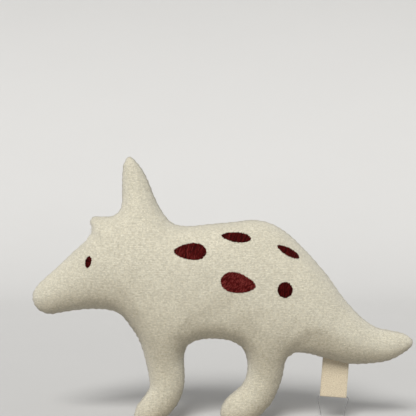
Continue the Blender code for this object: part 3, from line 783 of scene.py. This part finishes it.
def add_skins(skin, outline, knit):
    """One skin piece for each body, with the whole skin's normals, so that the cuts don't show."""
    skin.verts.index_update()
    places = np.array([tuple(vertex.co) for vertex in skin.verts])
    normals = np.array([tuple(vertex.normal) for vertex in skin.verts])
    seam_distance, _, _ = rim_distance(places[:, [0, 2]] / MM, outline)
    # painted shade of the underside and the feet, kept as an attribute of each skin piece
    painted_shade_share = painted_shade_of(places, normals)
    faces = [[vertex.index for vertex in face.verts] for face in skin.faces]
    centres = np.array([places[face].mean(axis=0) for face in faces])
    owners = bodies_of(centres)
    edges = np.array([[vertex.index for vertex in edge.verts] for edge in skin.edges])
    layout = cut_flat(places, edges, outline) / UV_UNIT
    for body in BODY_PARENT:
        chosen = [face for face, owner in zip(faces, owners) if owner == body]
        used = sorted({index for face in chosen for index in face})
        renumbered = {index: number for number, index in enumerate(used)}
        mesh = bpy.data.meshes.new(body + "_knit_skin")
        mesh.from_pydata(places[used].tolist(), [],
                         [[renumbered[index] for index in face] for face in chosen])
        distances = mesh.attributes.new("seam_distance", "FLOAT", "POINT")
        distances.data.foreach_set("value", seam_distance[used].astype(np.float32))
        dirt_and_painted_shade = mesh.attributes.new("painted_shade_share", "FLOAT", "POINT")
        dirt_and_painted_shade.data.foreach_set("value", painted_shade_share[used].astype(np.float32))
        panel = mesh.uv_layers.new(name="panel")
        corner_vertex = np.zeros(len(mesh.loops), dtype=np.int32)
        mesh.loops.foreach_get("vertex_index", corner_vertex)
        panel.data.foreach_set("uv", layout[used][corner_vertex].astype(np.float32).ravel())
        mesh.shade_smooth()
        mesh.normals_split_custom_set_from_vertices(normals[used].tolist())
        mesh.materials.append(knit)
        piece = add_object(body + "_knit_skin", mesh)
        bend_or_ride(piece, body)
        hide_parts(f"{body}_panel_left", f"{body}_panel_right", f"{body}_stuffing")


# ------------ stitches

def tube(builder, places, normals, half_widths, half_thickness, sides=5):
    """Flattened round tube along a row of places, closed at both ends; returns its vertices."""
    rings = []
    for index, place in enumerate(places):
        before = places[max(index - 1, 0)]
        after = places[min(index + 1, len(places) - 1)]
        across = (after - before).cross(normals[index]).normalized()
        ring = []
        for side in range(sides):
            turn = 2 * math.pi * side / sides
            offset = across * math.cos(turn) * half_widths[index]
            offset += normals[index] * math.sin(turn) * half_thickness
            ring.append(builder.verts.new(place + offset))
        rings.append(ring)
    for ring, following in zip(rings, rings[1:]):
        for side in range(sides):
            after = (side + 1) % sides
            builder.faces.new((ring[side], ring[after], following[after], following[side]))
    builder.faces.new(rings[0])
    builder.faces.new(rings[-1])
    return [vertex for ring in rings for vertex in ring]


def on_skin(surface, x, z, side):
    """Place and outward normal of the skin at (x, z) millimetres; side is -1 left, +1 right."""
    origin = Vector((x * MM, side * 0.2, z * MM))
    place, normal, _, _ = surface.ray_cast(origin, Vector((0, -side, 0)))
    if normal.y * side < 0:
        normal = -normal
    return place, normal


def spot_place(shape, along, across):
    """(x, z) of a place given along and across an embroidered shape."""
    tilt = math.radians(shape["tilt"])
    return (shape["centre"][0] + along * math.cos(tilt) - across * math.sin(tilt),
            shape["centre"][1] + along * math.sin(tilt) + across * math.cos(tilt))


def in_spot(shape, along, across):
    half_length, half_height = shape["size"][0] / 2, shape["size"][1] / 2
    share = along / half_length
    return share ** 2 + (across / (half_height * (1 + shape["fat_end"] * share))) ** 2 < 1


def floss_rows(shape, draw):
    """Ends of each stitch, (along, across) pairs: rows a pitch apart, broken like brickwork."""
    grain = math.radians(shape["grain"])
    direction = (math.cos(grain), math.sin(grain))
    reach = max(shape["size"])
    count = int(reach / FLOSS_PITCH)
    for row in range(-count, count + 1):
        offset = row * FLOSS_PITCH
        inside = []
        for s in np.arange(-reach, reach, 0.1):
            along = s * direction[0] - offset * direction[1]
            across = s * direction[1] + offset * direction[0]
            if in_spot(shape, along, across):
                inside.append(s)
        if len(inside) < 4:
            continue
        first = inside[0] - draw.uniform(-0.2, RAGGED)
        last = inside[-1] + draw.uniform(-0.2, RAGGED)
        breaks = [first]
        at = first + shape["stitch"] * (0.35 + (row * 0.38) % 1.0)
        while at < last - 1.2:
            breaks.append(at)
            at += shape["stitch"] * draw.uniform(0.85, 1.15)
        breaks.append(last)
        for begin, end in zip(breaks, breaks[1:]):
            yield [(s * direction[0] - offset * direction[1],
                    s * direction[1] + offset * direction[0]) for s in (begin, end)]


def add_floss(name, shape, body, side, surface, floss, draw):
    """Filled embroidery: an underlay, and over it every stitch as a raised strand."""
    builder = bmesh.new()
    tone = builder.verts.layers.float.new("tone")
    rim = []
    for step in range(UNDERLAY["steps"]):
        turn = 2 * math.pi * step / UNDERLAY["steps"]
        along = UNDERLAY["share"] * shape["size"][0] / 2 * math.cos(turn)
        across = UNDERLAY["share"] * shape["size"][1] / 2 * math.sin(turn)
        rim.append(Vector((along, across * (1 + shape["fat_end"] * math.cos(turn)))))
    inner = [Vector((a, b)) for a in np.arange(-18, 18, UNDERLAY["grid"])
             for b in np.arange(-10, 10, UNDERLAY["grid"]) if in_spot(shape, a * 1.18, b * 1.18)]
    edges = [(i, (i + 1) % len(rim)) for i in range(len(rim))]
    layout, _, triangles, *_ = delaunay_2d_cdt(rim + inner, edges, [], 1, 1e-4)
    underlay = []
    for index, (along, across) in enumerate(layout):
        place, normal = on_skin(surface, *spot_place(shape, along, across), side)
        lift = UNDERLAY["rim_lift"] if index < len(rim) else UNDERLAY["lift"]
        underlay.append(builder.verts.new(place + normal * lift * MM))
        # painted shade: the underlay is toned darker than the stitches over it, so that the gaps between
        # them look shaded
        underlay[-1][tone] = 0.3 * shape["light"]
    for triangle in triangles:
        corners = [underlay[i] for i in triangle]
        builder.faces.new(corners if side < 0 else corners[::-1])
    for begin, end in floss_rows(shape, draw):
        places, normals, widths = [], [], []
        for share, lift, width in STITCH_PROFILE:
            along = begin[0] + share * (end[0] - begin[0])
            across = begin[1] + share * (end[1] - begin[1])
            place, normal = on_skin(surface, *spot_place(shape, along, across), side)
            places.append(place + normal * lift * FLOSS_LIFT * MM)
            normals.append(normal)
            widths.append(width * FLOSS_HALF_WIDTH * MM)
        shade = min(1.0, max(0.0, shape["light"] + draw.uniform(-0.35, 0.4)))
        for vertex in tube(builder, places, normals, widths, FLOSS_HALF_THICKNESS * MM):
            vertex[tone] = shade
    finish_stitches(builder, name + "_stitching", body, floss, [name], blended=False)


def finish_stitches(builder, name, body, material, nodes, blended):
    bmesh.ops.recalc_face_normals(builder, faces=builder.faces[:])
    piece = add_built(name, builder, material)
    if blended:
        bend_or_ride(piece, body)
    else:
        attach(piece, body)
    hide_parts(*nodes)


def add_embroidery(surface, floss):
    draw = random.Random(7)
    shapes = [(name, shape, "torso") for name, shape in SPOTS.items()] + [("eye", EYE, "head")]
    for name, shape, body in shapes:
        for word, side in (("left", -1), ("right", 1)):
            add_floss(f"{name}_{word}", shape, body, side, surface, floss, draw)


def add_ladder_stitches(outline, thread):
    """Short stitches across the bottom of the seam's groove, except where the label fills it."""
    inward = inward_normals(outline)
    stride = LADDER_PITCH / SKIN_MESH["rim_step"]
    indices = [int(k * stride) for k in range(int(len(outline) / stride))]
    places = np.column_stack([outline[:, 0], np.zeros(len(outline)), outline[:, 1]]) * MM
    owners = bodies_of(places)
    for body in BODY_PARENT:
        builder = bmesh.new()
        for index in indices:
            x, z = outline[index] + inward[index] * LADDER_DEPTH
            beside, above = abs(x - LABEL_TOP[0]) - LABEL_WIDTH / 2, z - LABEL_TOP[1]
            at_label = beside < LABEL_CLEARANCE[0] and above < LABEL_CLEARANCE[1]
            if owners[index] != body or z < SOLE_ROUNDING or at_label:
                continue
            out = Vector((-inward[index][0], 0, -inward[index][1]))
            slant = Vector((inward[index][1], 0, -inward[index][0])) * 0.25 * MM
            row = []
            for share in (-1.0, -0.5, 0.0, 0.5, 1.0):
                place = Vector((x * MM, share * LADDER_HALF_LENGTH * MM, z * MM)) + slant * share
                row.append(place + out * (0.12 - 0.3 * share ** 2) * MM)
            tube(builder, row, [out] * 5, [LADDER_RADIUS * MM] * 5, LADDER_RADIUS * MM)
        nodes = [f"{seam}_seam_thread" for seam in SEAM_THREADS[body]]
        finish_stitches(builder, body + "_seam_stitches", body, thread, nodes, blended=True)


# ------------ label and loop

def add_label(tape):
    """Folded tape, its ends tucked into the seam and its fold round the plastic loop."""
    half = LABEL_THICKNESS / 2
    middle = FOLD_RADIUS - half
    slope = LABEL_SEAM_SLOPE + math.tan(math.radians(LABEL_TILT))
    fold_z = FOLD_RADIUS - LABEL_LENGTH
    columns, layer_rows, fold_rows = 24, 22, 10
    builder = bmesh.new()
    edge_distance = builder.verts.layers.float.new("edge_distance")
    uv = builder.loops.layers.uv.new("panel")

    def centreline(x):
        """(y, z, distance along) from the front top, round the fold, to the back top."""
        top = x * slope + LABEL_TUCK
        line = []
        for row in range(layer_rows + 1):
            share = row / layer_rows
            bulge = 0.35 * math.sin(math.pi * share) * math.sin(0.2 * x + 1.1)
            y = -(0.32 + (middle - 0.32) * share) - 0.25 * bulge
            line.append((y, top + share * (fold_z - top), share * (top - fold_z)))
        length = top - fold_z
        for row in range(1, fold_rows):
            turn = math.pi * (1 + row / fold_rows)
            line.append((middle * math.cos(turn), fold_z + middle * math.sin(turn),
                         length + middle * math.pi * row / fold_rows))
        length += middle * math.pi
        for row in range(layer_rows + 1):
            share = 1 - row / layer_rows
            y = 0.32 + (middle - 0.32) * share
            line.append((y, top + share * (fold_z - top), length + (1 - share) * (top - fold_z)))
        return line

    sheets = {-1: [], 1: []}
    for column in range(columns + 1):
        x = LABEL_WIDTH * (column / columns - 0.5)
        line = centreline(x)
        for face_side in sheets:
            strip = []
            for index, (y, z, run) in enumerate(line):
                before = line[max(index - 1, 0)]
                after = line[min(index + 1, len(line) - 1)]
                along = Vector((0, after[0] - before[0], after[1] - before[1])).normalized()
                outward = Vector((1, 0, 0)).cross(along) * face_side * half
                fray = 0.12 * noise.noise(Vector((x, run * 0.9, 3.0)))
                shift = fray if column in (0, columns) else 0.0
                vertex = builder.verts.new(((x + shift) * MM, (y + outward.y) * MM, (z + outward.z) * MM))
                vertex[edge_distance] = LABEL_WIDTH / 2 - abs(x)
                strip.append((vertex, (x / UV_UNIT, run / UV_UNIT)))
            sheets[face_side].append(strip)

    def face(corners):
        made = builder.faces.new([vertex for vertex, _ in corners])
        for loop, (_, place) in zip(made.loops, corners):
            loop[uv].uv = place

    last = len(sheets[1][0]) - 1
    for grid in sheets.values():
        for column in range(columns):
            for row in range(last):
                face([grid[column][row], grid[column + 1][row],
                      grid[column + 1][row + 1], grid[column][row + 1]])
    outer, inner = sheets[1], sheets[-1]
    for column in (0, columns):
        for row in range(last):
            face([outer[column][row], outer[column][row + 1], inner[column][row + 1], inner[column][row]])
    for row in (0, last):
        for column in range(columns):
            face([outer[column][row], outer[column + 1][row], inner[column + 1][row], inner[column][row]])
    bmesh.ops.recalc_face_normals(builder, faces=builder.faces[:])
    piece = add_built("label_tape", builder, tape)
    piece.data.set_sharp_from_angle(angle=math.radians(50))
    piece.location = (LABEL_TOP[0] * MM, 0, LABEL_TOP[1] * MM)
    piece.rotation_euler = (0, math.radians(LABEL_TILT), 0)
    bpy.context.view_layer.update()
    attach(piece, "label")
    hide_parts("label")


def add_lock(plastic):
    """Moulded lock of the loop: a rounded block with a waist and a parting line."""
    block = bmesh.new()
    bmesh.ops.create_cube(block, size=1.0)
    bmesh.ops.scale(block, vec=Vector(LOCK_SIZE) * MM, verts=block.verts[:])
    bmesh.ops.bevel(block, geom=block.edges[:], offset=0.9 * MM, segments=4, profile=0.5, affect="EDGES")
    bmesh.ops.subdivide_edges(block, edges=block.edges[:], cuts=2, use_grid_fill=True)
    for vertex in block.verts:
        share = vertex.co.x / (LOCK_SIZE[0] * MM / 2)
        vertex.co.y *= 1.0 - 0.13 * math.exp(-(share / 0.35) ** 2)
        if abs(vertex.co.z) < 0.12 * MM:
            vertex.co.y *= 1.03
    lock = add_built("loop_lock", block, plastic)
    lock.location = Vector(LOCK_CENTRE) * MM
    bpy.context.view_layer.update()
    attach(lock, "tag_loop")
    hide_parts("tag_loop_lock")
    return lock


def add_plastic_loop(plastic):
    lock = add_lock(plastic)
    curve = bpy.data.curves.new("plastic_loop", "CURVE")
    curve.dimensions = "3D"
    curve.bevel_depth = LOOP_DIAMETER / 2
    curve.bevel_resolution = 3
    curve.use_fill_caps = True
    places = smooth_curve(LOOP_ROUTE, LOOP_STEP, closed=False) * MM
    spline = curve.splines.new("POLY")
    spline.points.add(len(places) - 1)
    for point, place in zip(spline.points, places):
        point.co = (*place, 1.0)
    curve.materials.append(plastic)
    piece = add_object("plastic_loop", curve)
    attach(piece, "tag_loop")
    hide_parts("tag_loop")
    start = tuple(MM * value for value in LOOP_ROUTE[0])


def build():
    add_camera()
    add_plastic_loop(plastic_material())
    add_studio()
    skin, outline = whole_skin()
    surface = BVHTree.FromBMesh(skin)
    add_skins(skin, outline, knit_material())
    skin.free()
    add_embroidery(surface, floss_material())
    add_ladder_stitches(outline, thread_material())
    add_label(tape_material())


build()
